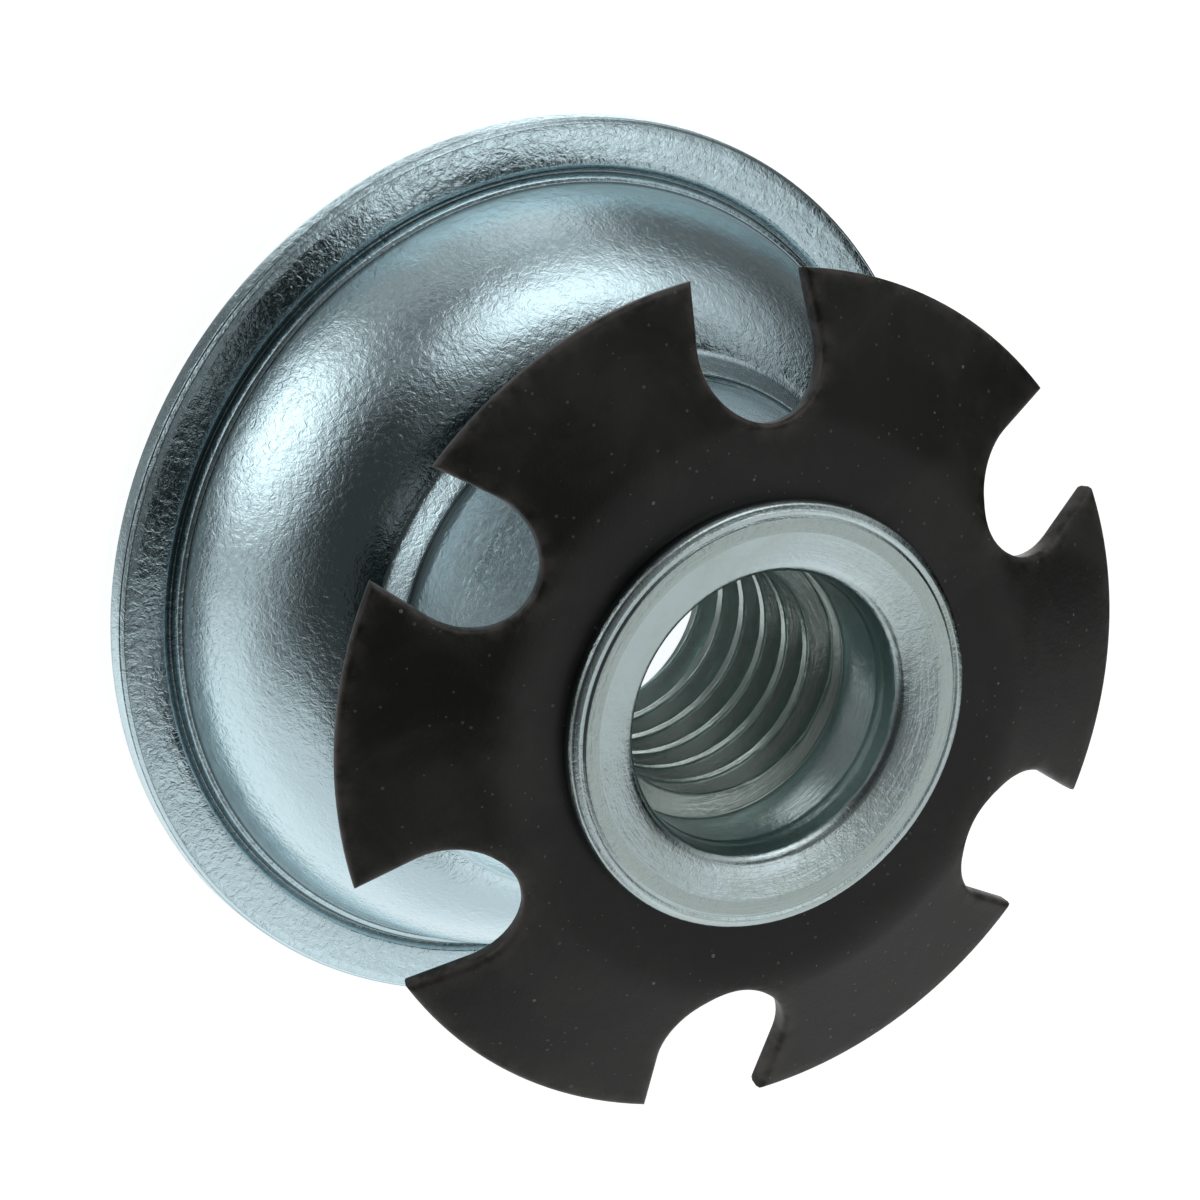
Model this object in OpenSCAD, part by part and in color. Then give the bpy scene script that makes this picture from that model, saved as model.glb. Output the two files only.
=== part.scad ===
// Threaded insert for the open end of a round steel tube.
// A drawn cup closes the tube, a star washer with sloping teeth bites into the
// tube's bore, and a threaded barrel riveted through both takes a screwed stem.
// Millimetres. Z = 0 is the underside of the cup's flange, +Z points into the tube.

/* [Tube] */
// Outside diameter of the tube, and of the flange that covers its end
tube_d = 41.28; // [36:0.1:46]
// Wall of the tube
tube_wall = 1.65; // [1.2:0.05:2.2]
// Gap between the cup's shoulder and the tube's bore, each side
shoulder_gap = 0.99; // [0.6:0.01:1.4]
// How far each tooth tip stands out past the tube's bore
tooth_bite = 0.5; // [0.2:0.01:1]

/* [Cup] */
// Thickness of the cup's sheet
cup_sheet = 1.24; // [0.9:0.01:1.6]
// Height of the cup from the flange's underside to its flat top
cup_h = 21.7; // [20:0.1:26]
// Height of the dome, where its rounded top would be level
dome_h = 11.1; // [9.8:0.1:13]
// Radius of the dome's rounded shoulder
dome_round = 8.3; // [6:0.1:9]
// Outside diameter of the neck that stands on the dome
neck_d = 22.8; // [22:0.1:25]
// Radius of the rounded corner at the neck's top
neck_round = 2.1; // [1.8:0.1:2.6]
// Width of the die mark that rings the foot of the neck
ring_w = 0.5; // [0.2:0.01:0.7]
// Height of the shoulder above the flange
shoulder_h = 0.6; // [0.3:0.05:0.9]

/* [Star washer] */
// Thickness of the washer's spring steel
washer_sheet = 1.05; // [0.7:0.05:1.3]
// Number of teeth
tooth_count = 6; // [4:1:7]
// Slope of the teeth, back towards the flange
tooth_slope = 25; // [15:1:30]
// Diameter at which the teeth start to bend away from the flat middle
washer_flat_d = 24.4; // [22.5:0.1:26]
// Inside radius of the bend
bend_round = 3; // [1.5:0.1:4]
// Width of each notch across its round bottom
notch_w = 6.1; // [4:0.1:7]
// Width of each notch at its mouth, between the tooth tips
notch_mouth_w = 5.7; // [4:0.1:7]
// Depth of each notch, inwards from the tooth tips
notch_depth = 6.2; // [4:0.1:6.6]

/* [Barrel] */
// Core diameter of the thread, 1/2-13 UNC
thread_core_d = 10.72; // [9:0.01:11]
// Length of the threaded bore
thread_len = 11.3; // [8:0.1:13]
// Diameter of the plain bore above the thread
plain_bore_d = 12.8; // [12:0.05:13.2]
// Height of the barrel's lower end above the flange's underside
barrel_foot_z = 6.2; // [4.5:0.1:8]
// Chamfer at both edges of the lower end
foot_chamfer = 0.9; // [0.5:0.05:1.2]
// Outside diameter of the rivet neck that passes through the cup and the washer
rivet_d = 16.6; // [15.5:0.1:17.6]
// Diameter of the rolled rivet head
head_d = 20; // [18.8:0.1:21.5]
// Thickness of the rivet head at its outer edge
head_h = 0.95; // [0.7:0.05:1.3]
// Depth of the shallow funnel in the head's face
funnel_depth = 0.36; // [0.2:0.02:0.6]
// Rounding where the funnel runs into the bore
entry_round = 0.3; // [0.1:0.05:0.5]
// Gap between parts that slide together
fit_gap = 0.06; // [0.02:0.01:0.15]

/* [Hidden] */
round_fn = 144;
eps = 0.01;

// Radii that follow the tube
flange_r = tube_d / 2;
bore_r = flange_r - tube_wall;
shoulder_r = bore_r - shoulder_gap;
tip_r = bore_r + tooth_bite;

// Levels of the stack, from the flange upwards
shoulder_z = cup_sheet + shoulder_h;
washer_z = cup_h;
head_z = washer_z + washer_sheet;
head_top_z = head_z + head_h;
thread_top_z = barrel_foot_z + thread_len + foot_chamfer;

// Radii of the barrel and of what it passes through
neck_r = neck_d / 2;
neck_bore_r = neck_r - cup_sheet;
barrel_r = neck_bore_r - fit_gap;
rivet_r = rivet_d / 2;
rivet_hole_r = rivet_r + fit_gap;
head_r = head_d / 2;
core_r = thread_core_d / 2;
plain_r = plain_bore_d / 2;

// The rim of the flange is eased by the shears, and its top face is crowned
rim_ease = 0.19;
flange_crown = 0.28;

// Middle of the torus that rounds the dome
dome_cx = shoulder_r - dome_round;
dome_cz = dome_h - dome_round;
// Height at which the dome meets the neck
neck_foot_z = dome_cz + sqrt(pow(dome_round, 2) - pow(neck_r + ring_w - dome_cx, 2));

// A block from the axis out to r and from z0 up to z1, with its upper corner rounded
module half_block(r, z0, z1, corner) {
    translate([0, z0]) square([r, z1 - z0 - corner]);
    translate([0, z0]) square([r - corner, z1 - z0]);
    translate([r - corner, z1 - corner])
        intersection() {
            circle(corner, $fn = round_fn);
            square(corner);
        }
}

// Half section through the outside of the cup, filled to the axis
module cup_outside() {
    // flange, with its crowned top leaning up to the shoulder
    polygon([
        [0, 0], [flange_r - rim_ease, 0], [flange_r, rim_ease],
        [flange_r, cup_sheet - rim_ease], [flange_r - rim_ease, cup_sheet],
        [shoulder_r + shoulder_h, cup_sheet + flange_crown], [0, cup_sheet + flange_crown]
    ]);
    // narrow step, then the dome that rises from it
    square([shoulder_r, shoulder_z]);
    half_block(shoulder_r, 0, dome_h, dome_round);
    // die mark round the foot of the neck
    square([neck_r + ring_w, neck_foot_z + ring_w]);
    // neck
    half_block(neck_r, 0, cup_h, neck_round);
}

// Half section through the space inside the cup: the same curves, one sheet further in
module cup_inside() {
    translate([0, -eps]) square([shoulder_r - cup_sheet, dome_cz + eps]);
    half_block(shoulder_r - cup_sheet, 0, dome_h - cup_sheet, dome_round - cup_sheet);
    half_block(neck_bore_r, 0, cup_h - cup_sheet, neck_round - cup_sheet);
    square([rivet_hole_r, cup_h + eps]);
}

// Drawn steel cup: flange, dome, neck and pierced flat top in one sheet
module flanged_cup() {
    color("lightsteelblue")
        rotate_extrude($fn = round_fn)
            difference() {
                cup_outside();
                cup_inside();
            }
}

// The middle line of the washer's section: flat, then an arc, then the straight tooth
bend_steps = 6;
bend_r0 = washer_flat_d / 2;
line_round = bend_round + washer_sheet / 2;
bend_end_r = bend_r0 + line_round * sin(tooth_slope);
bend_drop = line_round * (1 - cos(tooth_slope));
tooth_drop = (tip_r - bend_end_r) * tan(tooth_slope);

// A point on the section, side = 1 above the middle line and -1 below it
function offset_point(r, z, slope, side) = [
    r + side * washer_sheet / 2 * sin(slope),
    z + side * washer_sheet / 2 * cos(slope)
];
function bend_points(side) = [
    for (i = [0:bend_steps])
        let (a = tooth_slope * i / bend_steps)
        offset_point(bend_r0 + line_round * sin(a), -line_round * (1 - cos(a)), a, side)
];
function tip_point(side) =
    let (p = offset_point(tip_r, -bend_drop - tooth_drop, tooth_slope, side))
    [p[0] - washer_sheet / 2 * sin(tooth_slope), p[1]];
function reversed(list) = [for (i = [len(list) - 1:-1:0]) list[i]];

// Spring steel washer: a flat ring whose teeth slope back towards the flange
module star_washer() {
    above = concat([[rivet_hole_r, washer_sheet / 2]], bend_points(1), [tip_point(1)]);
    below = concat([[rivet_hole_r, -washer_sheet / 2]], bend_points(-1), [tip_point(-1)]);
    color("dimgray")
        translate([0, 0, washer_z + washer_sheet / 2])
            difference() {
                rotate_extrude($fn = round_fn)
                    polygon(concat(above, reversed(below)));
                for (i = [0:tooth_count - 1])
                    rotate([0, 0, i * 360 / tooth_count])
                        notch();
            }
}

// Round-bottomed notch, open outwards, with sides that run straight from the round
// bottom to the mouth and on past the tips
module notch() {
    notch_r = notch_w / 2;
    round_x = tip_r - notch_depth + notch_r;
    mouth_y = notch_mouth_w / 2;
    past = 1;
    past_y = mouth_y + (mouth_y - notch_r) * past / (tip_r - round_x);
    drop = bend_drop + tooth_drop + 2 * washer_sheet;
    translate([0, 0, -drop])
        linear_extrude(drop + 2 * washer_sheet) {
            translate([round_x, 0]) circle(notch_r, $fn = round_fn / 2);
            polygon([[round_x, -notch_r], [tip_r + past, -past_y], [tip_r + past, past_y], [round_x, notch_r]]);
        }
}

// Points on an arc about [r, z], from angle a0 to a1, measured from +r towards +z
function arc(r, z, radius, a0, a1, steps = 6) = [
    for (i = [0:steps])
        let (a = a0 + (a1 - a0) * i / steps)
        [r + radius * cos(a), z + radius * sin(a)]
];

// Threaded barrel: body inside the cup's neck, rivet neck through both sheets, rolled head
module threaded_barrel() {
    seat_z = cup_h - cup_sheet;
    seat_chamfer = neck_round - cup_sheet;
    rim_round = head_h / 2;
    crest_r = head_r - rim_round;
    funnel_z = head_top_z - funnel_depth;
    body = [
        [core_r, barrel_foot_z + foot_chamfer], [core_r + foot_chamfer, barrel_foot_z],
        [barrel_r - foot_chamfer, barrel_foot_z], [barrel_r, barrel_foot_z + foot_chamfer],
        [barrel_r, seat_z - seat_chamfer], [barrel_r - seat_chamfer, seat_z],
        [rivet_r, seat_z], [rivet_r, head_z]
    ];
    head = concat(
        arc(crest_r, head_z + rim_round, rim_round, -90, 90),
        [[rivet_r, head_top_z], [plain_r + entry_round, funnel_z], [plain_r, funnel_z - entry_round]]
    );
    lead_in = [[plain_r, thread_top_z + plain_r - core_r], [core_r, thread_top_z]];
    color("silver")
        rotate_extrude($fn = round_fn)
            polygon(concat(body, head, lead_in));
}

flanged_cup();
star_washer();
threaded_barrel();
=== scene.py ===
"""Dressed model of a threaded tube insert.

Three pieces stand for the three solids of the frame, each with its true section:
a drawn zinc-plated cup, a black star washer and a riveted threaded barrel. Lengths
are in metres where Blender sees them. The dataclass fields hold millimetres, and
`MM` turns one into the other.
"""

import logging
import math
from dataclasses import dataclass, field
from enum import Enum
from typing import Callable, Sequence

import bmesh
import bpy
import numpy as np
from mathutils import Matrix, Vector


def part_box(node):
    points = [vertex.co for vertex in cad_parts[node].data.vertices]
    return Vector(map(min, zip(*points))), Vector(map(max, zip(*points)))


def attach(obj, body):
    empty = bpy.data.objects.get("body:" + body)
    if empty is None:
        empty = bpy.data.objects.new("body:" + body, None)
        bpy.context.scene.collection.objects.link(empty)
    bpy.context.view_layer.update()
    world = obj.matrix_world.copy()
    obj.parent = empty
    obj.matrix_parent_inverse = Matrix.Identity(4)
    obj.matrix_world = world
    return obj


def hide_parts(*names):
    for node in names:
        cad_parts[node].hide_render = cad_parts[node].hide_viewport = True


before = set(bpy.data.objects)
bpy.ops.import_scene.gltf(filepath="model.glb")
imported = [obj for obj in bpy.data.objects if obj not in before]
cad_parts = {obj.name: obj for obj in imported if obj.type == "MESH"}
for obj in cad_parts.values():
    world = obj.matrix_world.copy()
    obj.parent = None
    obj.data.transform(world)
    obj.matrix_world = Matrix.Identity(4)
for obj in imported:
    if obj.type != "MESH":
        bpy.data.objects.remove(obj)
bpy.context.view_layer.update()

LOG = logging.getLogger("tube_insert")
MM = 0.001
BODY = "root"
TAU = 2.0 * math.pi
METAL_DUST = (0.9, 0.9, 0.88, 1.0)
# Colour of the shade painted into the zinc's grooves and creases.
METAL_PAINTED_SHADE = (0.05, 0.08, 0.085, 1.0)
WASHER_DUST = (0.40, 0.39, 0.36, 1.0)
EDGE_STEPS = np.array([0.0, 0.12, 0.3, 0.6, 1.0])

Node, Tree, Socket = bpy.types.Node, bpy.types.NodeTree, bpy.types.NodeSocket
Piece, Array = bpy.types.Object, np.ndarray
Colour = tuple[float, float, float, float]
Share = Callable[[Array, Array], Array]


class Slot(str, Enum):
    """Names of the three material slots."""

    CUP = "cup_zinc"
    WASHER = "washer_black"
    BARREL = "barrel_zinc"


# Sections and surfaces


def rounded_path(corners: Sequence[tuple[float, float, float]], chord: float = 0.35) -> Array:
    """A path through corners, each rounded by an arc that is tangent to both sides.

    A corner of radius q between unit directions a (in) and b (out), which turn by an
    angle t, starts and ends its arc q * tan(t / 2) away from the corner. The straight
    stretches between arcs are cut into pieces no longer than `chord`.

    Args:
        corners: (r, z, radius) for each corner; the first and last stay sharp.
        chord: Longest straight piece, in millimetres.

    Returns:
        Array of (r, z) points.
    """
    points = np.array([(c[0], c[1]) for c in corners], dtype=float)
    pieces: list[Array] = []
    last = points[0]
    for i in range(1, len(points) - 1):
        before, here, after = points[i - 1], points[i], points[i + 1]
        way_in = (here - before) / np.linalg.norm(here - before)
        way_out = (after - here) / np.linalg.norm(after - here)
        turn = math.acos(float(np.clip(way_in @ way_out, -1.0, 1.0)))
        reach = corners[i][2] * math.tan(turn / 2.0)
        if reach < 1e-6:
            pieces.append(straight(last, here, chord))
            last = here
            continue
        start, end = here - way_in * reach, here + way_out * reach
        pieces.append(straight(last, start, chord))
        steps = max(3, int(math.degrees(turn) / 9.0))
        share = np.linspace(0.0, 1.0, steps + 1)[1:-1, None]
        side = math.copysign(1.0, way_in[0] * way_out[1] - way_in[1] * way_out[0])
        normal = np.array([-way_in[1], way_in[0]]) * side
        middle = start + normal * corners[i][2]
        angle = turn * share
        ring = middle + corners[i][2] * (way_in * np.sin(angle) - normal * np.cos(angle))
        pieces.append(ring)
        last = end
    pieces.append(straight(last, points[-1], chord))
    pieces.append(points[-1][None, :])
    return np.concatenate(pieces)


def straight(start: Array, end: Array, chord: float) -> Array:
    """Points from start up to, but not including, end, at most `chord` apart."""
    steps = max(1, int(math.ceil(float(np.linalg.norm(end - start)) / chord)))
    share = np.linspace(0.0, 1.0, steps, endpoint=False)[:, None]
    return start + (end - start) * share


def grid_faces(rows: int, columns: int, close_rows: bool, close_columns: bool) -> Array:
    """Quads over a grid whose vertex (i, j) has the number i * columns + j.

    Args:
        rows: Number of rows.
        columns: Number of columns.
        close_rows: Whether the last row joins the first.
        close_columns: Whether the last column joins the first.

    Returns:
        Array of shape (faces, 4).
    """
    i = np.arange(rows if close_rows else rows - 1)[:, None]
    j = np.arange(columns if close_columns else columns - 1)[None, :]
    i_next, j_next = (i + 1) % rows, (j + 1) % columns
    quads = np.stack(np.broadcast_arrays(
        i * columns + j, i * columns + j_next, i_next * columns + j_next, i_next * columns + j), axis=-1)
    return quads.reshape(-1, 4)


def make_mesh(name: str, vertices: Array, faces: Array,
              attributes: dict[str, Array] | None = None) -> Piece:
    """Builds a smooth mesh object at the origin from whole arrays.

    Args:
        name: Name of the object and its mesh.
        vertices: Array (n, 3) in millimetres.
        faces: Array (m, 4) of vertex numbers, counter-clockwise seen from outside.
        attributes: One float per vertex for each named attribute.

    Returns:
        The new object, linked to the scene.
    """
    mesh = bpy.data.meshes.new(name)
    mesh.vertices.add(len(vertices))
    mesh.vertices.foreach_set("co", (vertices * MM).astype(np.float32).ravel())
    mesh.loops.add(faces.size)
    mesh.loops.foreach_set("vertex_index", faces.astype(np.int32).ravel())
    mesh.polygons.add(len(faces))
    mesh.polygons.foreach_set("loop_start", np.arange(0, faces.size, 4, dtype=np.int32))
    mesh.polygons.foreach_set("use_smooth", np.ones(len(faces), dtype=bool))
    mesh.update(calc_edges=True)
    for key, values in (attributes or {}).items():
        layer = mesh.attributes.new(key, "FLOAT", "POINT")
        layer.data.foreach_set("value", values.astype(np.float32).ravel())
    mesh.validate()
    piece = bpy.data.objects.new(name, mesh)
    bpy.context.scene.collection.objects.link(piece)
    return piece


def revolve(name: str, section: Array, segments: int, marks: dict[str, Share],
            radius_shift: Callable[[Array, Array, Array], Array] | None = None) -> Piece:
    """Turns a closed (r, z) section about Z into a closed ring-shaped surface.

    Vertex (i, j) is (r_i cos a_j, r_i sin a_j, z_i), where a_j = j * 2 pi / segments,
    and `radius_shift` may give another r for each pair of section point and angle. The
    section runs counter-clockwise in the (r, z) plane, so faces point outwards.

    Args:
        name: Name of the piece.
        section: Array of (r, z) points in millimetres, not repeated at the end.
        segments: Number of columns round the axis.
        marks: For each vertex attribute, a function of (radius, height) in millimetres.
        radius_shift: Optional function of (radius, height, angle) that gives the new radii.

    Returns:
        The new object.
    """
    angle = np.arange(segments) * TAU / segments
    radius = np.broadcast_to(section[:, :1], (len(section), segments)).copy()
    height = np.broadcast_to(section[:, 1:], radius.shape)
    if radius_shift is not None:
        radius = radius_shift(radius, height, np.broadcast_to(angle[None, :], radius.shape))
    vertices = np.stack([radius * np.cos(angle), radius * np.sin(angle), height], axis=-1)
    faces = grid_faces(len(section), segments, True, True)
    return make_mesh(name, vertices.reshape(-1, 3), faces[:, ::-1],
                     {key: share(radius, height) for key, share in marks.items()})


# Shader building


class Graph:
    """A node tree with short calls for adding and joining nodes."""

    def __init__(self, tree: Tree) -> None:
        """Keeps the tree that nodes go into."""
        self.tree = tree

    def add(self, kind: str, **settings: object) -> Node:
        """Adds a node and sets its properties.

        Args:
            kind: Blender's type name of the node.
            **settings: Property names and their values.

        Returns:
            The new node.
        """
        node = self.tree.nodes.new(kind)
        for key, value in settings.items():
            setattr(node, key, value)
        return node

    def put(self, socket: Socket, value: object) -> None:
        """Joins an output to a socket, or writes a constant into it."""
        if isinstance(value, Socket):
            self.tree.links.new(value, socket)
        else:
            socket.default_value = value

    def math(self, operation: str, *values: object) -> Socket:
        """A Math node on up to three values; returns its output."""
        node = self.add("ShaderNodeMath", operation=operation)
        for socket, value in zip(node.inputs, values):
            self.put(socket, value)
        return node.outputs[0]

    def vector(self, operation: str, *values: object) -> Node:
        """A Vector Math node on up to three values."""
        node = self.add("ShaderNodeVectorMath", operation=operation)
        for socket, value in zip(node.inputs, values):
            self.put(socket, value)
        return node

    def ramp(self, value: object, low: float, high: float, to_low: float = 0.0,
             to_high: float = 1.0) -> Socket:
        """Maps value smoothly from [low, high] to [to_low, to_high]; returns the output."""
        node = self.add("ShaderNodeMapRange", interpolation_type="SMOOTHSTEP", clamp=True)
        self.put(node.inputs["Value"], value)
        limits = {"From Min": low, "From Max": high, "To Min": to_low, "To Max": to_high}
        for key, number in limits.items():
            node.inputs[key].default_value = number
        return node.outputs["Result"]

    def mix(self, share: object, first: object, second: object) -> Socket:
        """Mixes two colours by a share; returns the colour output."""
        node = self.add("ShaderNodeMix", data_type="RGBA")
        self.put(node.inputs[0], share)
        self.put(node.inputs[6], first)
        self.put(node.inputs[7], second)
        return node.outputs[2]

    def noise(self, position: object, scale: float, detail: float = 3.0, roughness: float = 0.5,
              distortion: float = 0.0) -> Socket:
        """Noise on a position; returns its value output, about 0.5 in the mean."""
        node = self.add("ShaderNodeTexNoise")
        self.put(node.inputs["Vector"], position)
        node.inputs["Scale"].default_value = scale
        node.inputs["Detail"].default_value = detail
        node.inputs["Roughness"].default_value = roughness
        node.inputs["Distortion"].default_value = distortion
        return node.outputs["Fac"]


def new_group(name: str, inputs: Sequence[tuple[str, str, float]],
              outputs: Sequence[tuple[str, str]]) -> tuple[Graph, Node, Node]:
    """Starts a shader node group.

    Args:
        name: Name of the group.
        inputs: (name, socket type, default) of each input.
        outputs: (name, socket type) of each output.

    Returns:
        The graph, its input node and its output node.
    """
    tree = bpy.data.node_groups.new(name, "ShaderNodeTree")
    for key, kind, default in inputs:
        socket = tree.interface.new_socket(key, in_out="INPUT", socket_type=kind)
        if kind == "NodeSocketFloat":
            socket.default_value = default
    for key, kind in outputs:
        tree.interface.new_socket(key, in_out="OUTPUT", socket_type=kind)
    graph = Graph(tree)
    return graph, graph.add("NodeGroupInput"), graph.add("NodeGroupOutput")


def place_group(graph: Graph, tree: Tree, **values: object) -> Node:
    """Places a group in a material and feeds its inputs."""
    node = graph.add("ShaderNodeGroup", node_tree=tree)
    for key, value in values.items():
        graph.put(node.inputs[key], value)
    return node


def build_orange_peel_group() -> Tree:
    """Wrinkled skin of drawn and plated sheet, as one height and one mask.

    Height is the sum of a slow wave, wrinkles from a bent noise, and grain. Mask
    follows the wrinkles, so that the finish can dull in them.

    Returns:
        The node group, with inputs Position, Scale and Grain.
    """
    graph, source, sink = new_group(
        "orange_peel",
        [("Position", "NodeSocketVector", 0.0), ("Scale", "NodeSocketFloat", 2200.0),
         ("Grain", "NodeSocketFloat", 0.3)],
        [("Height", "NodeSocketFloat"), ("Mask", "NodeSocketFloat")])
    scaled = graph.vector("SCALE", source.outputs["Position"])
    graph.put(scaled.inputs["Scale"], source.outputs["Scale"])
    wrinkle = graph.noise(scaled.outputs[0], 1.0, 3.0, 0.55, 0.9)
    slow = graph.noise(scaled.outputs[0], 0.16, 2.0, 0.5, 0.3)
    grain = graph.noise(scaled.outputs[0], 4.5, 2.0, 0.6)
    height = graph.math("ADD", graph.math("MULTIPLY", slow, 1.6), wrinkle)
    height = graph.math("MULTIPLY_ADD", grain, source.outputs["Grain"], height)
    graph.put(sink.inputs["Height"], height)
    graph.put(sink.inputs["Mask"], graph.ramp(wrinkle, 0.35, 0.7))
    return graph.tree


def build_dust_group() -> Tree:
    """Sparse specks of dust: small spots round the points of a cell pattern.

    A speck shows where the distance to the cell's point is under a radius that
    differs from cell to cell, and only in a share of the cells.

    Returns:
        The node group, with inputs Position, Scale, Share and Size, output Mask.
    """
    graph, source, sink = new_group(
        "dust",
        [("Position", "NodeSocketVector", 0.0), ("Scale", "NodeSocketFloat", 700.0),
         ("Share", "NodeSocketFloat", 0.1), ("Size", "NodeSocketFloat", 0.12)],
        [("Mask", "NodeSocketFloat")])
    cells = graph.add("ShaderNodeTexVoronoi", feature="F1")
    graph.put(cells.inputs["Vector"], source.outputs["Position"])
    graph.put(cells.inputs["Scale"], source.outputs["Scale"])
    parts = graph.add("ShaderNodeSeparateColor")
    graph.put(parts.inputs[0], cells.outputs["Color"])
    radius = graph.math("MULTIPLY", source.outputs["Size"], parts.outputs[1])
    near = graph.math("LESS_THAN", cells.outputs["Distance"], radius)
    chosen = graph.math("LESS_THAN", parts.outputs[0], source.outputs["Share"])
    graph.put(sink.inputs["Mask"], graph.math("MULTIPLY", near, chosen))
    return graph.tree


def build_turning_group() -> Tree:
    """Fine rings left by a tool that turned about Z, uneven round the axis.

    The position is squeezed to (radius, height) with a little of the angle, so that a
    noise on it is long round the axis and short across it.

    Returns:
        The node group, with inputs Position and Scale, output Height.
    """
    graph, source, sink = new_group(
        "turning_marks",
        [("Position", "NodeSocketVector", 0.0), ("Scale", "NodeSocketFloat", 9000.0)],
        [("Height", "NodeSocketFloat")])
    parts = graph.add("ShaderNodeSeparateXYZ")
    graph.put(parts.inputs[0], source.outputs["Position"])
    radius = graph.vector("LENGTH", graph.vector(
        "MULTIPLY", source.outputs["Position"], (1.0, 1.0, 0.0)).outputs[0]).outputs["Value"]
    angle = graph.math("ARCTAN2", parts.outputs[1], parts.outputs[0])
    squeezed = graph.add("ShaderNodeCombineXYZ")
    graph.put(squeezed.inputs[0], radius)
    graph.put(squeezed.inputs[1], graph.math("MULTIPLY", angle, 0.0006))
    graph.put(squeezed.inputs[2], parts.outputs[2])
    scaled = graph.vector("SCALE", squeezed.outputs[0])
    graph.put(scaled.inputs["Scale"], source.outputs["Scale"])
    graph.put(sink.inputs["Height"], graph.noise(scaled.outputs[0], 1.0, 2.0, 0.6))
    return graph.tree


@dataclass
class Effects:
    """The shared node groups, built once."""

    orange_peel: Tree = field(default_factory=build_orange_peel_group)
    dust: Tree = field(default_factory=build_dust_group)
    turning: Tree = field(default_factory=build_turning_group)


def start_material(name: str) -> tuple[bpy.types.Material, Graph, Node, Socket]:
    """Starts a material with a Principled shader.

    Returns:
        The material, its graph, the shader and the Object coordinates.
    """
    material = bpy.data.materials.new(name)
    material.use_nodes = True
    graph = Graph(material.node_tree)
    shader = material.node_tree.nodes["Principled BSDF"]
    position = graph.add("ShaderNodeTexCoord").outputs["Object"]
    return material, graph, shader, position


def add_bump(graph: Graph, shader: Node, height: object, distance: float) -> None:
    """Feeds a height through a Bump node into the shader's normal."""
    bump = graph.add("ShaderNodeBump")
    bump.inputs["Distance"].default_value = distance
    bump.inputs["Strength"].default_value = 1.0
    graph.put(bump.inputs["Height"], height)
    graph.put(shader.inputs["Normal"], bump.outputs[0])


@dataclass(frozen=True)
class ZincFinish:
    """Zinc plate on steel: a tinted metal whose gloss breaks up in fine wrinkles.

    The attribute "dull" says where the skin is duller, and a second attribute says where shade is
    painted into grooves and creases as a darker colour.
    cloud is the depth of the large soft blotches.
    """

    name: str
    tint: Colour
    dull_tint: Colour
    roughness: float
    dull_roughness: float
    peel_scale: float
    peel_depth: float
    grain: float
    turning_depth: float
    cloud: float
    dull_metal_loss: float = 0.5
    wrinkle_roughness: float = 0.06

    def build(self, effects: Effects) -> bpy.types.Material:
        """Builds the material.

        Args:
            effects: The shared node groups.

        Returns:
            The material.
        """
        material, graph, shader, position = start_material(self.name)
        peel = place_group(graph, effects.orange_peel, Position=position,
                           Scale=self.peel_scale, Grain=self.grain)
        dust = place_group(graph, effects.dust, Position=position, Scale=800.0, Share=0.03, Size=0.1)
        turning = place_group(graph, effects.turning, Position=position, Scale=7000.0)
        dull = graph.add("ShaderNodeAttribute", attribute_name="dull").outputs["Fac"]
        cloud = graph.ramp(graph.noise(position, 260.0, 4.0, 0.6, 0.4), 0.4, 0.8, 0.0, self.cloud)
        blotch = graph.math("MAXIMUM", cloud, dull)
        colour = graph.mix(blotch, self.tint, self.dull_tint)
        colour = graph.mix(graph.math("MULTIPLY", dust.outputs["Mask"], 0.5), colour, METAL_DUST)
        # Painted shade: the colour darkens where the attribute marks grooves and creases.
        painted_shade = graph.add("ShaderNodeAttribute", attribute_name="painted_shade").outputs["Fac"]
        colour = graph.mix(painted_shade, colour, METAL_PAINTED_SHADE)
        graph.put(shader.inputs["Base Color"], colour)
        metal = graph.math("MULTIPLY_ADD", dull, -self.dull_metal_loss, 1.0)
        graph.put(shader.inputs["Metallic"], metal)
        gloss = graph.math("MULTIPLY_ADD", blotch, self.dull_roughness - self.roughness, self.roughness)
        gloss = graph.math("MULTIPLY_ADD", peel.outputs["Mask"], self.wrinkle_roughness, gloss)
        graph.put(shader.inputs["Roughness"], gloss)
        height = graph.math("MULTIPLY_ADD", turning.outputs["Height"], self.turning_depth,
                            peel.outputs["Height"])
        add_bump(graph, shader, height, self.peel_depth)
        return material


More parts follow.
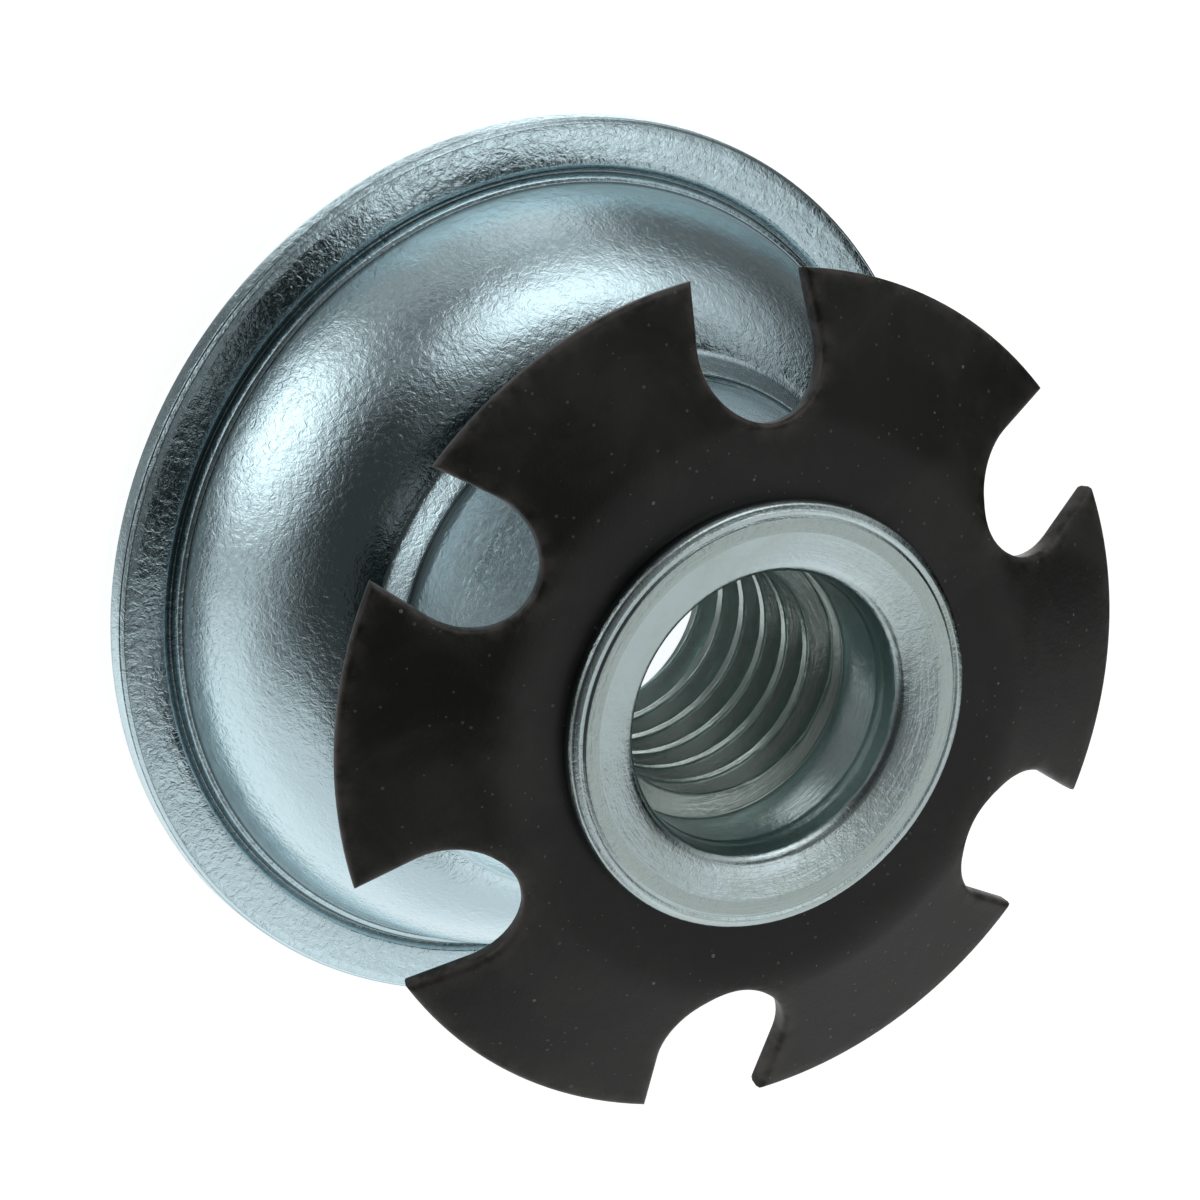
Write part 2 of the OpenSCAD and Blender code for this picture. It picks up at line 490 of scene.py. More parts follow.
@dataclass(frozen=True)
class BlackSpringFinish:
    """Black oiled spring steel: satin, dusty, rubbed lighter along its edges, with soft lighter patches
    that are partly a hazier oil film and partly a painted sheen.
    """

    name: str = "black_spring_steel"
    tint: Colour = (0.010, 0.011, 0.009, 1.0)
    # Lighter colour of the soft patches: hazier oil, and a painted sheen.
    haze_and_sheen_tint: Colour = (0.032, 0.034, 0.030, 1.0)
    worn_tint: Colour = (0.20, 0.18, 0.17, 1.0)
    roughness: float = 0.38
    haze_roughness: float = 0.12
    wear: float = 0.6
    dust: float = 0.45
    oil_ior: float = 1.4
    grain_depth: float = 0.000012

    def build(self, effects: Effects) -> bpy.types.Material:
        """Builds the material.

        Args:
            effects: The shared node groups.

        Returns:
            The material.
        """
        material, graph, shader, position = start_material(self.name)
        dust = place_group(graph, effects.dust, Position=position, Scale=950.0, Share=0.14, Size=0.11)
        fine = place_group(graph, effects.dust, Position=position, Scale=2800.0, Share=0.3, Size=0.24)
        edge = graph.add("ShaderNodeAttribute", attribute_name="edge").outputs["Fac"]
        # Soft patches that are rougher and lighter: hazier oil, with a painted sheen in the colour.
        haze_and_sheen = graph.ramp(graph.noise(position, 170.0, 4.0, 0.6, 0.6), 0.4, 0.75)
        rub = graph.ramp(graph.noise(position, 900.0, 3.0, 0.6), 0.3, 0.65)
        colour = graph.mix(haze_and_sheen, self.tint, self.haze_and_sheen_tint)
        worn = graph.math("MULTIPLY", graph.math("MULTIPLY", edge, rub), self.wear)
        colour = graph.mix(worn, colour, self.worn_tint)
        faint = graph.math("MULTIPLY", fine.outputs["Mask"], 0.4)
        specks = graph.math("MAXIMUM", dust.outputs["Mask"], faint)
        colour = graph.mix(graph.math("MULTIPLY", specks, self.dust), colour, WASHER_DUST)
        graph.put(shader.inputs["Base Color"], colour)
        shader.inputs["Metallic"].default_value = 0.0
        shader.inputs["IOR"].default_value = self.oil_ior
        gloss = graph.math("MULTIPLY_ADD", haze_and_sheen, self.haze_roughness, self.roughness)
        graph.put(shader.inputs["Roughness"], gloss)
        grain = graph.noise(position, 5200.0, 3.0, 0.6)
        slow = graph.noise(position, 420.0, 2.0, 0.5)
        height = graph.math("MULTIPLY_ADD", slow, 2.5, grain)
        height = graph.math("MULTIPLY_ADD", specks, 1.5, height)
        add_bump(graph, shader, height, self.grain_depth)
        return material


# Pieces


@dataclass
class FlangedCup:
    """The drawn cup: flange, shoulder, dome, neck and pierced flat top, one sheet thick.

    The flange's radius and the height come from the frame. crease_inset and
    crease_height place the dome's foot from the step's edge, and ring_width is the reach
    of the die's mark round the neck. The dull zone at the dome's foot ends at dull_top
    and grows over dull_fade below it.
    """

    effects: Effects
    sheet: float = 1.24
    shoulder_radius: float = 18.0
    shoulder_height: float = 1.84
    crease_inset: float = 0.12
    crease_height: float = 0.11
    foot_slope: float = 12.0
    top_slope: float = 67.0
    dome_bend: float = 1.81
    dome_top: float = 9.92
    neck_radius: float = 11.4
    neck_round: float = 2.1
    ridge_height: float = 11.27
    ring_width: float = 0.6
    hole_radius: float = 8.36
    dull_top: float = 3.7
    dull_fade: float = 1.4
    foot_dull: float = 0.9
    ring_dull: float = 0.7
    neck_dull: float = 0.2
    # Painted shade in the flange's groove, and in the dome's crease and the ring's fine grooves.
    groove_painted_shade: float = 0.6
    crease_painted_shade: float = 0.7
    dome_steps: int = 48
    segments: int = 256
    flange_radius: float = field(init=False)
    height: float = field(init=False)

    def __post_init__(self) -> None:
        """Reads the outer sizes from the frame's node."""
        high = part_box("flanged_cup")[1]
        self.flange_radius, self.height = high[0] / MM, high[2] / MM

    def dome_line(self, inset: float) -> Array:
        """The dome's line, from its foot up to where it turns towards the neck.

        At the share t of the way the wall leans from upright by foot_slope plus
        (top_slope - foot_slope) * t**dome_bend. The points are running sums of short
        steps with that lean, scaled so that the line ends at dome_top.

        Args:
            inset: How far the line lies inside the outer face.

        Returns:
            Points upwards.
        """
        t = np.linspace(0.0, 1.0, self.dome_steps + 1)
        lean = np.radians(self.foot_slope + (self.top_slope - self.foot_slope) * t**self.dome_bend)
        step = np.concatenate([[0.0], 0.5 * (lean[1:] + lean[:-1])])
        inward, upward = np.cumsum(np.sin(step)), np.cumsum(np.cos(step)) - 1.0
        foot_radius = self.shoulder_radius - self.crease_inset
        foot_height = self.shoulder_height + self.crease_height
        scale = (self.dome_top - foot_height) / upward[-1]
        radius, height = foot_radius - inward * scale, foot_height + upward * scale
        return np.stack([radius - inset * np.cos(lean), height - inset * np.sin(lean)], axis=1)

    def flange_path(self) -> Array:
        """The outside from the flange's underside to the dome's foot.

        A sheared side, a bevel, a crowned top that falls to a groove, a low step whose
        edge is rolled, and a crease at the dome's foot.
        """
        rim, top = self.flange_radius, self.sheet
        step, edge = self.shoulder_radius, self.shoulder_height
        side = [(step + 0.8, 0.0, 0.0), (rim - 0.02, 0.0, 0.2), (rim, 0.3, 0.4), (rim, top - 0.3, 0.04)]
        crown = [(rim - 0.06, top - 0.26, 0.04), (rim - 0.16, top - 0.05, 0.1),
                 (rim - 0.5, top + 0.06, 0.5), (rim - 1.25, top + 0.19, 1.6)]
        groove = [(step + 0.62, top + 0.29, 0.25), (step + 0.42, top + 0.15, 0.1),
                  (step + 0.24, top + 0.09, 0.07)]
        rolled = [(step + 0.12, edge - 0.04, 0.1), (step - 0.04, edge + 0.06, 0.05),
                  (step - 0.1, edge + 0.04, 0.02), (step - 0.13, edge + 0.12, 0.0)]
        return rounded_path(side + crown + groove + rolled, 0.25)

    def neck_path(self, start: Array) -> Array:
        """The line from the dome's top over the neck and down inside it.

        A hollow corner and a steep short wall up to a ridge, a flat ring between two
        fine grooves, the neck, its rounded top, the hole and the inside.

        Args:
            start: Last point of the dome as (r, z).

        Returns:
            Points upwards outside, then downwards inside.
        """
        neck, ridge, hole = self.neck_radius, self.ridge_height, self.hole_radius
        wall, low = neck - self.sheet, self.height - self.sheet
        rise = [tuple(start) + (0.0,), (neck + 1.27, start[1] + 0.06, 0.5), (neck + 0.64, ridge, 0.05)]
        ring = [(neck + 0.57, ridge + 0.02, 0.03), (neck + 0.54, ridge - 0.12, 0.03),
                (neck + 0.5, ridge - 0.08, 0.03), (neck + 0.32, ridge + 0.02, 0.03),
                (neck + 0.29, ridge - 0.1, 0.03), (neck + 0.26, ridge + 0.04, 0.05)]
        outside = [(neck + 0.01, ridge + 4.6, 12.0), (neck, self.height, self.neck_round),
                   (hole, self.height, 0.12)]
        inside = [(hole, low, 0.12), (wall, low, self.neck_round - self.sheet),
                  (wall, start[1] - 0.5, 0.8), (start[0] - 0.48, start[1] - 1.14, 0.0)]
        return rounded_path(rise + ring + outside + inside, 0.3)

    def section(self) -> Array:
        """The closed section, counter-clockwise: outside upwards, then inside downwards."""
        dome = self.dome_line(0.0)
        flange, neck = self.flange_path(), self.neck_path(dome[-1])
        inner = self.dome_line(self.sheet)[::-1]
        base = rounded_path([
            tuple(inner[-1]) + (0.0,), (inner[-1, 0], 0.0, 0.9), (self.shoulder_radius + 0.8, 0.0, 0.0)])
        return np.concatenate([flange[:-1], dome[:-1], neck[:-1], inner[:-1], base[:-1]])

    def dull_share(self, radius: Array, height: Array) -> Array:
        """Share of the duller skin.

        Slight on the neck, more on the ring at its foot, most at the dome's foot.

        Args:
            radius: Radii in millimetres.
            height: Heights in millimetres.

        Returns:
            Shares from 0 to 1.
        """
        neck = (radius < self.neck_radius + self.ring_width) & (height > self.ridge_height - 0.3)
        ring = neck & (radius > self.neck_radius + 0.08)
        side = (radius > self.shoulder_radius - 2.0) & (height > self.shoulder_height + 0.1)
        below = (self.dull_top - height) / self.dull_fade
        foot = np.where(side, np.clip(below, 0.0, self.foot_dull), 0.0)
        return np.where(ring, self.ring_dull, np.where(neck, self.neck_dull, foot))

    def painted_shade_share(self, radius: Array, height: Array) -> Array:
        """Share of painted shade in the groove, the dome's crease and the ring's grooves.

        Args:
            radius: Radii in millimetres.
            height: Heights in millimetres.

        Returns:
            Shares from 0 to 1.
        """
        low, past_step = height < self.shoulder_height + 0.3, radius - self.shoulder_radius
        groove = low & (past_step > 0.16) & (past_step < 0.5) & (height > 1.0)
        crease = low & (np.abs(past_step + 0.1) < 0.035) & (height > self.shoulder_height)
        by_neck = radius < self.neck_radius + self.ring_width
        fine = by_neck & (np.abs(height - self.ridge_height + 0.1) < 0.03)
        thin = np.where(crease | fine, self.crease_painted_shade, 0.0)
        return np.where(groove, self.groove_painted_shade, thin)

    def build(self) -> Piece:
        """Builds and dresses the cup."""
        # The second mark is the painted shade in grooves and creases.
        marks = {"dull": self.dull_share, "painted_shade": self.painted_shade_share}
        piece = revolve("cup_shell", self.section(), self.segments, marks)
        finish = ZincFinish(
            name="bright_zinc", tint=(0.63, 0.81, 0.87, 1.0), dull_tint=(0.59, 0.77, 0.83, 1.0),
            roughness=0.10, dull_roughness=0.19, peel_scale=2900.0, peel_depth=0.000032, grain=0.25,
            turning_depth=0.0, cloud=0.45)
        piece.data.materials.append(finish.build(self.effects))
        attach(piece, BODY)
        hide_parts("flanged_cup")
        return piece


@dataclass
class StarWasher:
    """The star washer: a flat ring, a bend, and six sloping teeth, edges rubbed round."""

    effects: Effects
    sheet: float = 1.05
    teeth: int = 6
    slope: float = 25.0
    flat_radius: float = 12.2
    bend_round: float = 3.525
    hole_radius: float = 8.36
    notch_width: float = 6.1
    mouth_width: float = 5.7
    notch_depth: float = 6.2
    edge_round: float = 0.3
    tip_radius: float = 19.49
    seat_height: float = field(init=False)
    notch_radius: float = field(init=False)
    round_middle: float = field(init=False)
    side_lean: float = field(init=False)

    def __post_init__(self) -> None:
        """Reads the washer's seat from the frame and works out the notch's middle and lean."""
        self.seat_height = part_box("flanged_cup")[1][2] / MM
        self.notch_radius = self.notch_width / 2.0
        self.round_middle = self.tip_radius - self.notch_depth + self.notch_radius
        narrowing = self.mouth_width / 2.0 - self.notch_radius
        self.side_lean = narrowing / (self.tip_radius - self.round_middle)

    def middle_line(self, radius: Array) -> tuple[Array, Array]:
        """Height and slope of the sheet's middle at a radius.

        Flat up to the bend, then an arc of the bend's radius b, whose drop is
        b * (1 - cos a) at sin a = (r - r0) / b, then a straight cone.

        Args:
            radius: Radii in millimetres.

        Returns:
            Heights and slopes (radians, positive when the sheet falls outwards).
        """
        limit = math.radians(self.slope)
        sine = np.clip((radius - self.flat_radius) / self.bend_round, 0.0, math.sin(limit))
        slope = np.arcsin(sine)
        end = self.flat_radius + self.bend_round * math.sin(limit)
        drop = self.bend_round * (1.0 - np.cos(slope))
        drop += np.clip(radius - end, 0.0, None) * math.tan(limit)
        return self.seat_height + self.sheet / 2.0 - drop, slope

    def edge_distance(self, radius: Array, angle: Array) -> Array:
        """Distance in plan from the nearest cut edge, inside the sheet.

        Past the middle of the round bottom it is the distance from the leaning side, and
        before it that from the circle of the round bottom.

        Args:
            radius: Radii in millimetres.
            angle: Angles from the nearest notch's middle line, in radians.

        Returns:
            Distances in millimetres.
        """
        x, y = radius * np.cos(angle), np.abs(radius * np.sin(angle))
        bowl = np.hypot(x - self.round_middle, y) - self.notch_radius
        side = y - self.notch_radius - self.side_lean * (x - self.round_middle)
        slot = np.where(x < self.round_middle, bowl, side / math.hypot(1.0, self.side_lean))
        return np.minimum(np.minimum(slot, self.tip_radius - radius), radius - self.hole_radius)

    def half_angle(self, radius: Array) -> Array:
        """Half of the angle that the notch takes from a circle of each radius.

        Where the circle meets the round bottom, the law of cosines gives it. Further out
        it is where the circle meets the leaning side, the root of a quadratic in x.

        Args:
            radius: Radii in millimetres.

        Returns:
            Angles in radians, nought short of the notch.
        """
        middle, width, lean = self.round_middle, self.notch_radius, self.side_lean
        cosine = np.clip((radius**2 + middle**2 - width**2) / (2.0 * radius * middle), -1.0, 1.0)
        bowl = np.where(radius > middle - width, np.arccos(cosine), 0.0)
        offset = width - lean * middle
        inner = (lean * offset)**2 - (1.0 + lean**2) * (offset**2 - radius**2)
        root = np.sqrt(np.clip(inner, 0.0, None))
        x = (root - lean * offset) / (1.0 + lean**2)
        side = np.arctan2(offset + lean * x, x)
        return np.where(x >= middle, side, bowl)

    def rows(self) -> Array:
        """Radii of the grid's rows, close together at the hole, the notches and the tips."""
        width = self.notch_radius
        bottom = self.round_middle - width
        near = self.edge_round * EDGE_STEPS
        flat = np.arange(self.hole_radius + 0.6, bottom - 0.6, 0.45)
        inner = np.concatenate([self.hole_radius + near, flat])
        before = bottom - np.array([0.42, 0.3, 0.22, 0.15, 0.09, 0.04])
        phi = np.radians(np.concatenate([np.arange(0.0, 30.0, 3.0), np.arange(30.0, 91.0, 6.0)]))
        bowl = bottom + width * (1.0 - np.cos(phi))
        outer = np.arange(bowl[-1] + 0.35, self.tip_radius - self.edge_round - 0.15, 0.35)
        return np.concatenate([inner, before, bowl, outer, self.tip_radius - near[::-1]])

    def spread(self, radius: Array) -> Array:
        """Angles of the grid's columns within one sector, from one notch to the next.

        A row is an arc of one radius that starts and ends at the notch's half angle.
        Columns keep fixed distances from each end near the cut edge, and share the rest
        evenly in the middle.

        Args:
            radius: Radius of each row.

        Returns:
            Array (rows, columns) of angles from the first notch's middle line.
        """
        half, sector = self.half_angle(radius), TAU / self.teeth
        near = self.edge_round * np.append(EDGE_STEPS, [1.7, 2.8])
        share = np.linspace(0.0, 1.0, 22)[1:-1]
        start = near[None, :] / radius[:, None]
        span = sector - 2.0 * half[:, None] - 2.0 * start[:, -1:]
        centre = start[:, -1:] + span * share[None, :]
        full = sector - 2.0 * half[:, None]
        return np.concatenate([start, centre, full - start[:, ::-1]], axis=1) + half[:, None]

    def join_faces(self, radius: Array, columns: int) -> Array:
        """Faces of the upper and lower patches and of the strips that join their rims.

        Patches go tooth by tooth, all upper ones before all lower ones. The rims are the
        notch's sides, the tips and the hole.

        Args:
            radius: Radius of each row.
            columns: Number of columns in a patch.

        Returns:
            Array (faces, 4) of vertex numbers.
        """
        rows, cell = len(radius), len(radius) * columns
        patch = grid_faces(rows, columns, False, False)
        faces = [patch + k * cell for k in range(self.teeth)]
        faces += [patch[:, ::-1] + (k + self.teeth) * cell for k in range(self.teeth)]
        below = self.teeth * cell
        left = np.arange(rows) * columns
        right = left + columns - 1
        tip = (rows - 1) * columns + np.arange(columns)
        bore = np.arange(columns)
        cut = int(np.searchsorted(radius, self.round_middle - self.notch_radius - 1e-6))
        for k in range(self.teeth):
            for line in (left[cut:][::-1], right[cut:], tip[::-1], bore):
                a, b = line[:-1] + k * cell, line[1:] + k * cell
                faces.append(np.stack([a, b, b + below, a + below], axis=1))
        return np.concatenate(faces)

    def build(self) -> Piece:
        """Builds the washer from an upper and a lower grid whose rims are joined.

        Both grids stand off the middle line by half the sheet, less a quarter-round near
        a cut edge. The attribute "edge" is exp(-distance / edge_round).

        Returns:
            The dressed piece.
        """
        radius = self.rows()
        local = self.spread(radius)
        sector = TAU / self.teeth
        distance = self.edge_distance(radius[:, None], np.minimum(local, sector - local))
        distance = np.maximum(distance, 0.0)
        inset = np.clip(self.edge_round - distance, 0.0, None)
        corner = np.sqrt(np.clip(self.edge_round**2 - inset**2, 0.0, None))
        half_sheet = self.sheet / 2.0 - self.edge_round + corner
        height, slope = self.middle_line(radius)
        vertices, edges = [], []
        for side in (1.0, -1.0):
            for k in range(self.teeth):
                angle = local + k * sector
                ring = radius[:, None] + side * half_sheet * np.sin(slope)[:, None]
                level = height[:, None] + side * half_sheet * np.cos(slope)[:, None]
                points = np.stack([ring * np.cos(angle), ring * np.sin(angle), level], axis=-1)
                vertices.append(points.reshape(-1, 3))
                edges.append(np.exp(-distance / self.edge_round).ravel())
        faces = self.join_faces(radius, local.shape[1])
        piece = make_mesh("star_washer_sheet", np.concatenate(vertices), faces[:, ::-1],
                          {"edge": np.concatenate(edges)})
        weld(piece)
        piece.data.materials.append(BlackSpringFinish().build(self.effects))
        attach(piece, BODY)
        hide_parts("star_washer")
        return piece


def weld(piece: Piece, reach: float = 2e-7) -> None:
    """Merges the doubled vertices where patches of one piece meet."""
    work = bmesh.new()
    work.from_mesh(piece.data)
    bmesh.ops.remove_doubles(work, verts=work.verts, dist=reach)
    bmesh.ops.recalc_face_normals(work, faces=work.faces)
    work.to_mesh(piece.data)
    work.free()


@dataclass
class ThreadedBarrel:
    """The riveted barrel: body, true 1/2-13 thread, plain bore and rolled head."""

    effects: Effects
    core_radius: float = 5.36
    crest_depth: float = 1.06
    pitch: float = 25.4 / 13.0
    thread_phase: float = -0.19
    body_radius: float = 10.1
    rivet_radius: float = 8.3
    plain_radius: float = 6.4
    head_radius: float = 10.0
    thread_top: float = 18.4
    foot_chamfer: float = 0.9
    seat_chamfer: float = 0.86
    seat_height: float = 20.46
    head_height: float = 22.75
    funnel_depth: float = 0.36
    thread_dull: float = 0.45
    band_dull: float = 0.35
    row_step: float = 0.075
    segments: int = 248
    foot: float = field(init=False)
    top: float = field(init=False)

    def __post_init__(self) -> None:
        """Reads the barrel's ends from the frame's node."""
        low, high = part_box("threaded_barrel")
        self.foot, self.top = low[2] / MM, high[2] / MM

    def section(self) -> Array:
        """The closed section, counter-clockwise: foot, outside upwards, head, bore downwards."""
        core, body, rivet = self.core_radius, self.body_radius, self.rivet_radius
        head, plain = self.head_radius, self.plain_radius
        cut, ease = self.foot_chamfer, self.seat_chamfer
        foot, seat, under, top = self.foot, self.seat_height, self.head_height, self.top
        shank = [(core + cut, foot, 0.0), (body - cut, foot, 0.2), (body, foot + cut, 0.2),
                 (body, seat - ease, 0.2), (body - ease, seat, 0.2), (rivet, seat, 0.1),
                 (rivet, under, 0.1)]
        rolled = [(head - 0.1, under, 0.15), (head, under + 0.45, 0.3), (head - 0.1, top - 0.2, 0.25),
                  (head - 0.4, top - 0.05, 0.25), (head - 0.6, top - 0.12, 0.06),
                  (head - 0.72, top - 0.01, 0.08), (head - 1.35, top, 0.8)]
        funnel = [(plain + 1.25, top - 0.13, 1.5), (plain + 0.3, top - 0.3, 0.7),
                  (plain + 0.08, top - self.funnel_depth - 0.9, 0.5), (plain + 0.06, top - 1.7, 0.2),
                  (plain, top - 1.85, 0.2)]
        lead_in = [(plain, self.thread_top + 0.42, 0.15), (core, self.thread_top, 0.0)]
        outer = rounded_path(shank + rolled + funnel + lead_in, 0.2)
        steps = int((self.thread_top - foot) / self.row_step)
        heights = np.linspace(self.thread_top, foot, steps)
        chamfer = np.clip(core + foot + cut - heights, core, None)
        bore = np.stack([chamfer, heights], axis=1)
        return np.concatenate([outer[:-1], bore[:-1]])

    def cut_thread(self, radius: Array, height: Array, angle: Array) -> Array:
        """Radius of the bore's wall with the thread cut into it.

        The phase is height / pitch minus angle / one turn, so the groove climbs one pitch
        a turn, right-handed. Distance from the groove's middle gives the depth: full within
        a sixteenth of the pitch, then falling by 1.732 per millimetre down the flank.

        Args:
            radius: Radius of the plain section at each vertex.
            height: Height of each vertex.
            angle: Angle of each vertex.

        Returns:
            The new radii.
        """
        inside = radius < self.plain_radius + 0.02
        in_span = inside & (height < self.thread_top + 1.1) & (height > self.foot - 0.01)
        turn = height / self.pitch - angle / TAU + self.thread_phase
        away = np.abs(turn - np.round(turn)) * self.pitch
        past_root = np.clip(away - self.pitch / 16.0, 0.0, None)
        depth = np.clip(self.crest_depth - math.sqrt(3.0) * past_root, 0.0, None)
        wall = np.minimum(self.core_radius + depth, self.core_radius + self.crest_depth)
        return np.where(in_span, np.maximum(radius, wall), radius)

    def dull_share(self, radius: Array, height: Array) -> Array:
        """Greener skin in the thread, and part of it on the flat band of the head."""
        thread = (radius < self.plain_radius + 0.1) & (height < self.thread_top + 0.9)
        band = (np.abs(radius - self.head_radius + 1.05) < 0.33) & (height > self.top - 0.2)
        return np.where(thread, self.thread_dull, np.where(band, self.band_dull, 0.0))

    def build(self) -> Piece:
        """Builds and dresses the barrel."""
        piece = revolve("barrel_body", self.section(), self.segments, {"dull": self.dull_share},
                        self.cut_thread)
        finish = ZincFinish(
            name="dull_zinc", tint=(0.57, 0.68, 0.70, 1.0), dull_tint=(0.46, 0.55, 0.45, 1.0),
            roughness=0.15, dull_roughness=0.28, peel_scale=3200.0, peel_depth=0.000016, grain=0.4,
            turning_depth=0.8, cloud=0.5)
        piece.data.materials.append(finish.build(self.effects))
        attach(piece, BODY)
        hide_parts("threaded_barrel")
        return piece


# Studio


@dataclass(frozen=True)
class Panel:
    """A soft patch of the surroundings: a light bank, or a card that keeps light off.

    azimuth and elevation point at its middle and half_width and half_height are its
    half sizes, all in degrees. Its edge fades over `fade` degrees. level is its
    brightness, where 1 is a white wall.
    """

    azimuth: float
    elevation: float
    half_width: float
    half_height: float
    fade: float
    level: float


@dataclass
class Studio:
    """Camera, floor and surroundings. Later panels cover earlier ones."""

    focal_length: float = 826.2
    distance: float = 1.2384
    right: tuple[float, float, float] = (0.73313, 0.48325, 0.47854)
    up: tuple[float, float, float] = (-0.36961, 0.87377, -0.31610)
    toward: tuple[float, float, float] = (-0.57089, 0.05487, 0.81919)
    origin_right: float = -0.003810
    origin_down: float = -0.002307
    wall_level: float = 0.2
    floor_size: float = 1.5
    floor_level: float = -0.00002
    floor_glow: float = 0.8
    panels: tuple[Panel, ...] = (
        Panel(-42.0, -5.0, 100.0, 60.0, 29.0, 0.98),
        Panel(-172.0, 0.0, 61.0, 6.0, 20.0, 0.76),
        Panel(-140.0, 8.0, 31.0, 21.0, 36.0, 0.26),
        Panel(78.0, -23.0, 68.0, 48.0, 36.0, 1.65),
        Panel(112.0, -5.0, 59.0, 19.0, 36.0, 0.14),
        Panel(58.0, 1.0, 51.0, 22.0, 23.0, 0.48),
        Panel(181.0, -28.0, 21.0, 17.0, 36.0, 2.02),
        Panel(222.0, 42.0, 78.0, 32.0, 36.0, 0.04),
        Panel(105.0, 17.0, 21.0, 17.0, 29.0, 1.42),
        Panel(2.0, 54.0, 98.0, 6.0, 15.0, 0.78),
        Panel(48.0, 67.0, 31.0, 6.0, 27.0, 1.62),
        Panel(85.0, 48.0, 24.0, 16.0, 35.0, 0.04),
        Panel(-69.0, 6.0, 47.0, 20.0, 36.0, 0.72),
        Panel(55.0, -32.0, 34.0, 26.0, 29.0, 0.14),
        Panel(24.0, 12.0, 28.0, 35.0, 36.0, 0.0),
        Panel(132.0, -28.0, 21.0, 6.0, 33.0, 0.11),
        Panel(37.0, -64.0, 35.0, 9.0, 34.0, 1.91),
        Panel(-134.0, -49.0, 14.0, 16.0, 36.0, 0.05),
        Panel(-8.0, 25.0, 20.0, 25.0, 6.0, 0.66),
        Panel(146.0, -45.0, 55.0, 12.0, 21.0, 0.06),
    )

    def add_camera(self) -> None:
        """Places the camera: the axes are the view's right, up and backward directions."""
        data = bpy.data.cameras.new("view")
        data.lens = self.focal_length
        data.sensor_width = 36.0
        data.clip_end = 10.0
        camera = bpy.data.objects.new("view", data)
        right, up, back = Vector(self.right), Vector(self.up), Vector(self.toward)
        place = back * self.distance - right * self.origin_right + up * self.origin_down
        turn = Matrix((right, up, back)).transposed().to_4x4()
        camera.matrix_world = Matrix.Translation(place) @ turn
        bpy.context.scene.collection.objects.link(camera)
        bpy.context.scene.camera = camera

    def surroundings(self, graph: Graph, direction: object) -> Socket:
        """Brightness of the surroundings towards a direction.

        Azimuth is the arctangent of y over x and elevation the arcsine of z. A panel's
        cover is smoothstep of how far the direction lies inside its width, times the
        same for its height, and the level goes from what lies behind to the panel's own.

        Args:
            graph: The node graph to build in.
            direction: Unit direction socket.

        Returns:
            The level.
        """
        parts = graph.add("ShaderNodeSeparateXYZ")
        graph.put(parts.inputs[0], direction)
        azimuth = graph.math("ARCTAN2", parts.outputs[1], parts.outputs[0])
        elevation = graph.math("ARCSINE", parts.outputs[2])
        level: object = self.wall_level
        for panel in self.panels:
            fade = math.radians(panel.fade) / 2.0
            across = graph.math("SUBTRACT", azimuth, math.radians(panel.azimuth))
            across = graph.math("ABSOLUTE", graph.math("WRAP", across, math.pi, -math.pi))
            along = graph.math("SUBTRACT", elevation, math.radians(panel.elevation))
            along = graph.math("ABSOLUTE", along)
            wide, high = math.radians(panel.half_width), math.radians(panel.half_height)
            cover = graph.math("MULTIPLY", graph.ramp(across, wide - fade, wide + fade, 1.0, 0.0),
                               graph.ramp(along, high - fade, high + fade, 1.0, 0.0))
            step = graph.math("SUBTRACT", panel.level, level)
            level = graph.math("MULTIPLY_ADD", cover, step, level)
        return level

    def add_world(self) -> None:
        """White to the camera, soft panels round a dark studio to everything else."""
        world = bpy.data.worlds.new("studio")
        bpy.context.scene.world = world
        world.use_nodes = True
        graph = Graph(world.node_tree)
        background = world.node_tree.nodes["Background"]
        direction = graph.add("ShaderNodeTexCoord").outputs["Generated"]
        rays = graph.add("ShaderNodeLightPath")
        seen = graph.math("SUBTRACT", 1.0, rays.outputs["Is Camera Ray"])
        level = graph.math("MULTIPLY", self.surroundings(graph, direction), seen)
        graph.put(background.inputs["Color"], (1.0, 1.0, 1.0, 1.0))
        graph.put(background.inputs["Strength"], graph.math("ADD", level, rays.outputs["Is Camera Ray"]))

    def add_floor(self) -> None:
        """A pale floor under the flange: white to the camera but for the shadow.

        Metal sees through it to the lower part of the surroundings, as though the part
        were held up between the panels.
        """
        size, level = self.floor_size, self.floor_level
        plan = ((-size, -size), (size, -size), (size, size), (-size, size))
        corners = [(x, y, level) for x, y in plan]
        mesh = bpy.data.meshes.new("floor")
        mesh.from_pydata(corners, [], [(0, 1, 2, 3)])
        floor = bpy.data.objects.new("floor", mesh)
        bpy.context.scene.collection.objects.link(floor)
        material = bpy.data.materials.new("pale_floor")
        material.use_nodes = True
        graph = Graph(material.node_tree)
        shader = material.node_tree.nodes["Principled BSDF"]
        shader.inputs["Base Color"].default_value = (0.9, 0.9, 0.9, 1.0)
        shader.inputs["Roughness"].default_value = 0.9
        shader.inputs["Specular IOR Level"].default_value = 0.0
        glow = graph.add("ShaderNodeEmission")
        rays = graph.add("ShaderNodeLightPath")
        seen = graph.math("MULTIPLY", rays.outputs["Is Camera Ray"], self.floor_glow)
        graph.put(glow.inputs["Strength"], seen)
        both = graph.add("ShaderNodeAddShader")
        graph.put(both.inputs[0], shader.outputs[0])
        graph.put(both.inputs[1], glow.outputs[0])
        through = graph.add("ShaderNodeMixShader")
        graph.put(through.inputs[0], rays.outputs["Is Glossy Ray"])
        graph.put(through.inputs[1], both.outputs[0])
        graph.put(through.inputs[2], graph.add("ShaderNodeBsdfTransparent").outputs[0])
        output = material.node_tree.nodes["Material Output"]
        graph.put(output.inputs["Surface"], through.outputs[0])
        mesh.materials.append(material)

    def build(self) -> None:
        """Sets up the view, the colour management, the floor and the light."""
        bpy.context.scene.view_settings.view_transform = "Standard"
        self.add_camera()
        self.add_world()
        self.add_floor()


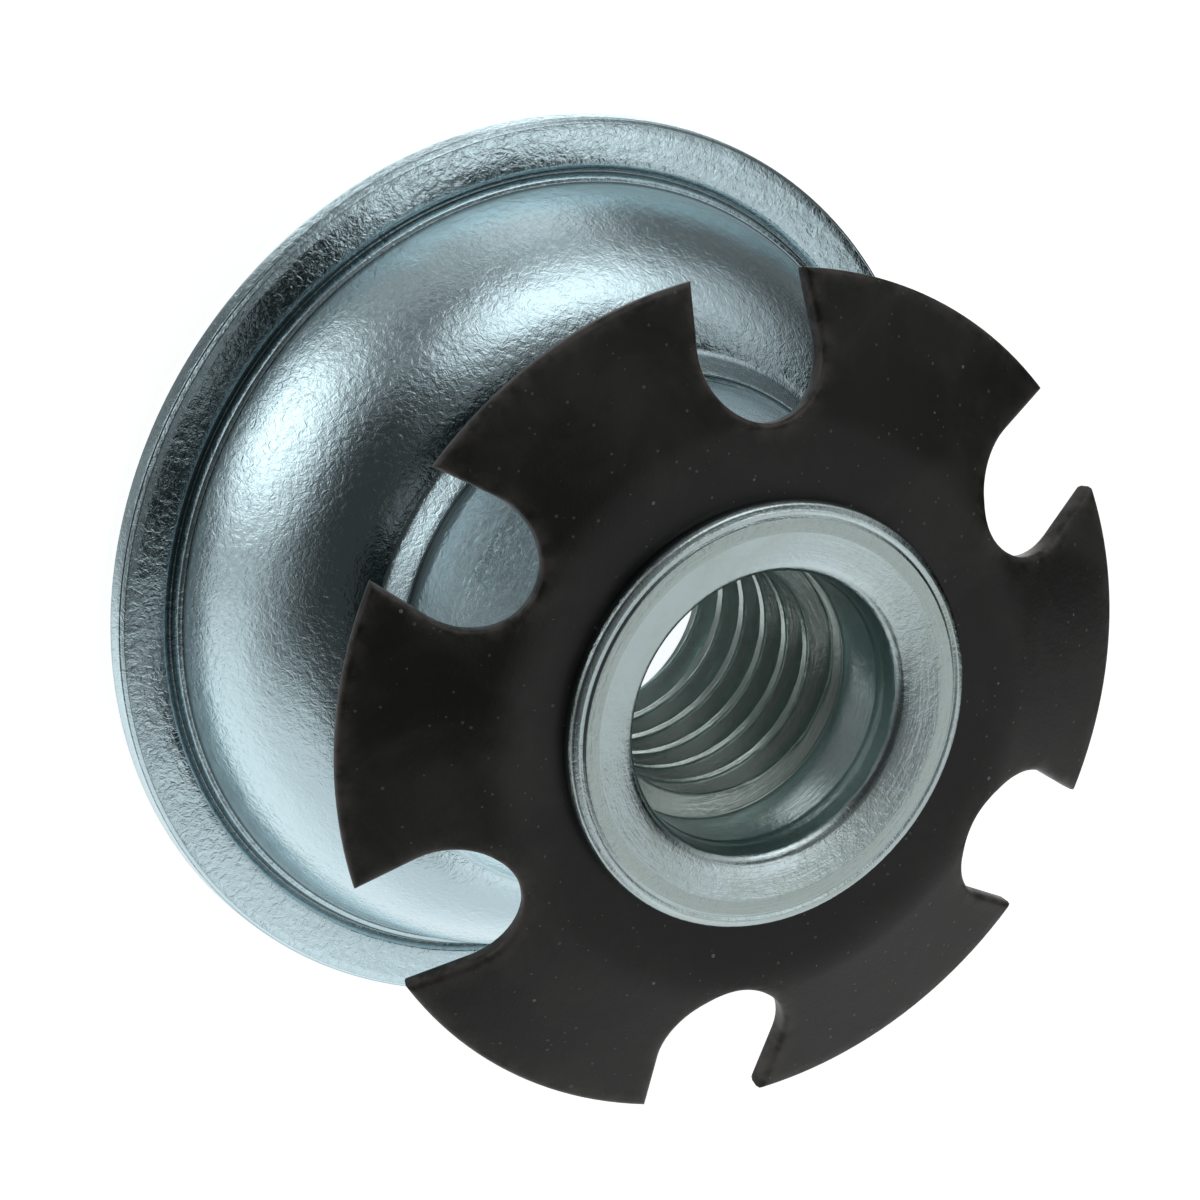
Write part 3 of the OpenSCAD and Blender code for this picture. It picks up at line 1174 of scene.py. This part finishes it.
def main() -> None:
    """Builds the studio and the three pieces, and reports each piece."""
    logging.basicConfig(level=logging.INFO, format="%(name)s: %(message)s")
    Studio().build()
    effects = Effects()
    for assembly in (FlangedCup(effects), StarWasher(effects), ThreadedBarrel(effects)):
        piece = assembly.build()
        mesh = piece.data
        LOG.info("%s: %d vertices, %d faces", piece.name, len(mesh.vertices), len(mesh.polygons))


if __name__ == "__main__":
    main()
